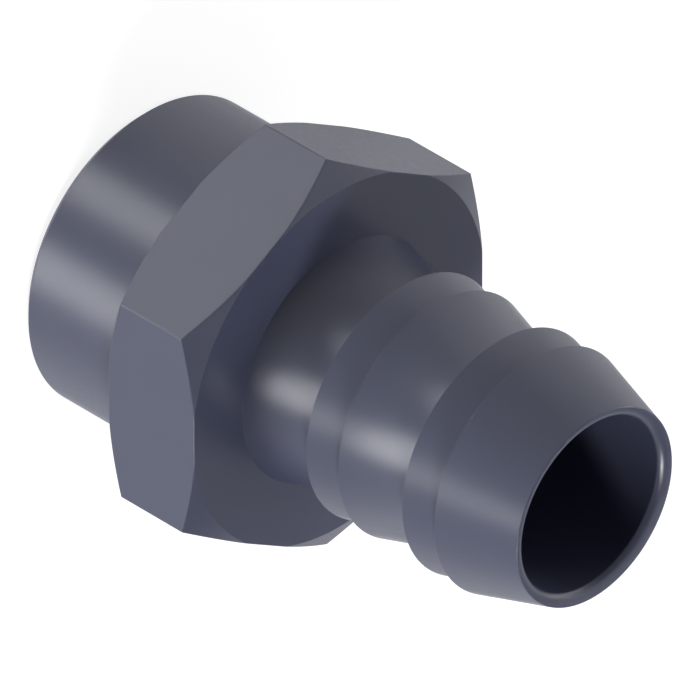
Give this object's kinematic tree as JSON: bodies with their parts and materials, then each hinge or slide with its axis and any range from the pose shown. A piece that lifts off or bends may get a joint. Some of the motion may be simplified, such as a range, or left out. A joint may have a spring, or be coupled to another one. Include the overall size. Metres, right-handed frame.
{
  "type": "spigot to hose tail adapter",
  "caption": "Moulded PVC pipe fitting: a plain spigot cemented into a pipe socket, a hexagon for a spanner and a barbed hose tail, with a bore right through.",
  "frame": {"origin": "centre of the spigot's flat end face, on the bore's axis", "axes": "+Z along the bore from the spigot to the hose tail's mouth; +X square to one flat of the hexagon; two of the hexagon's corners lie on the Y axis"},
  "size_m": [0.03, 0.0346, 0.0468],
  "materials": {
    "pvc": "satin, as moulded, dark blue-grey"
  },
  "bodies": {
    "root": {"adapter_body": "pvc"}
  },
  "joints": []
}
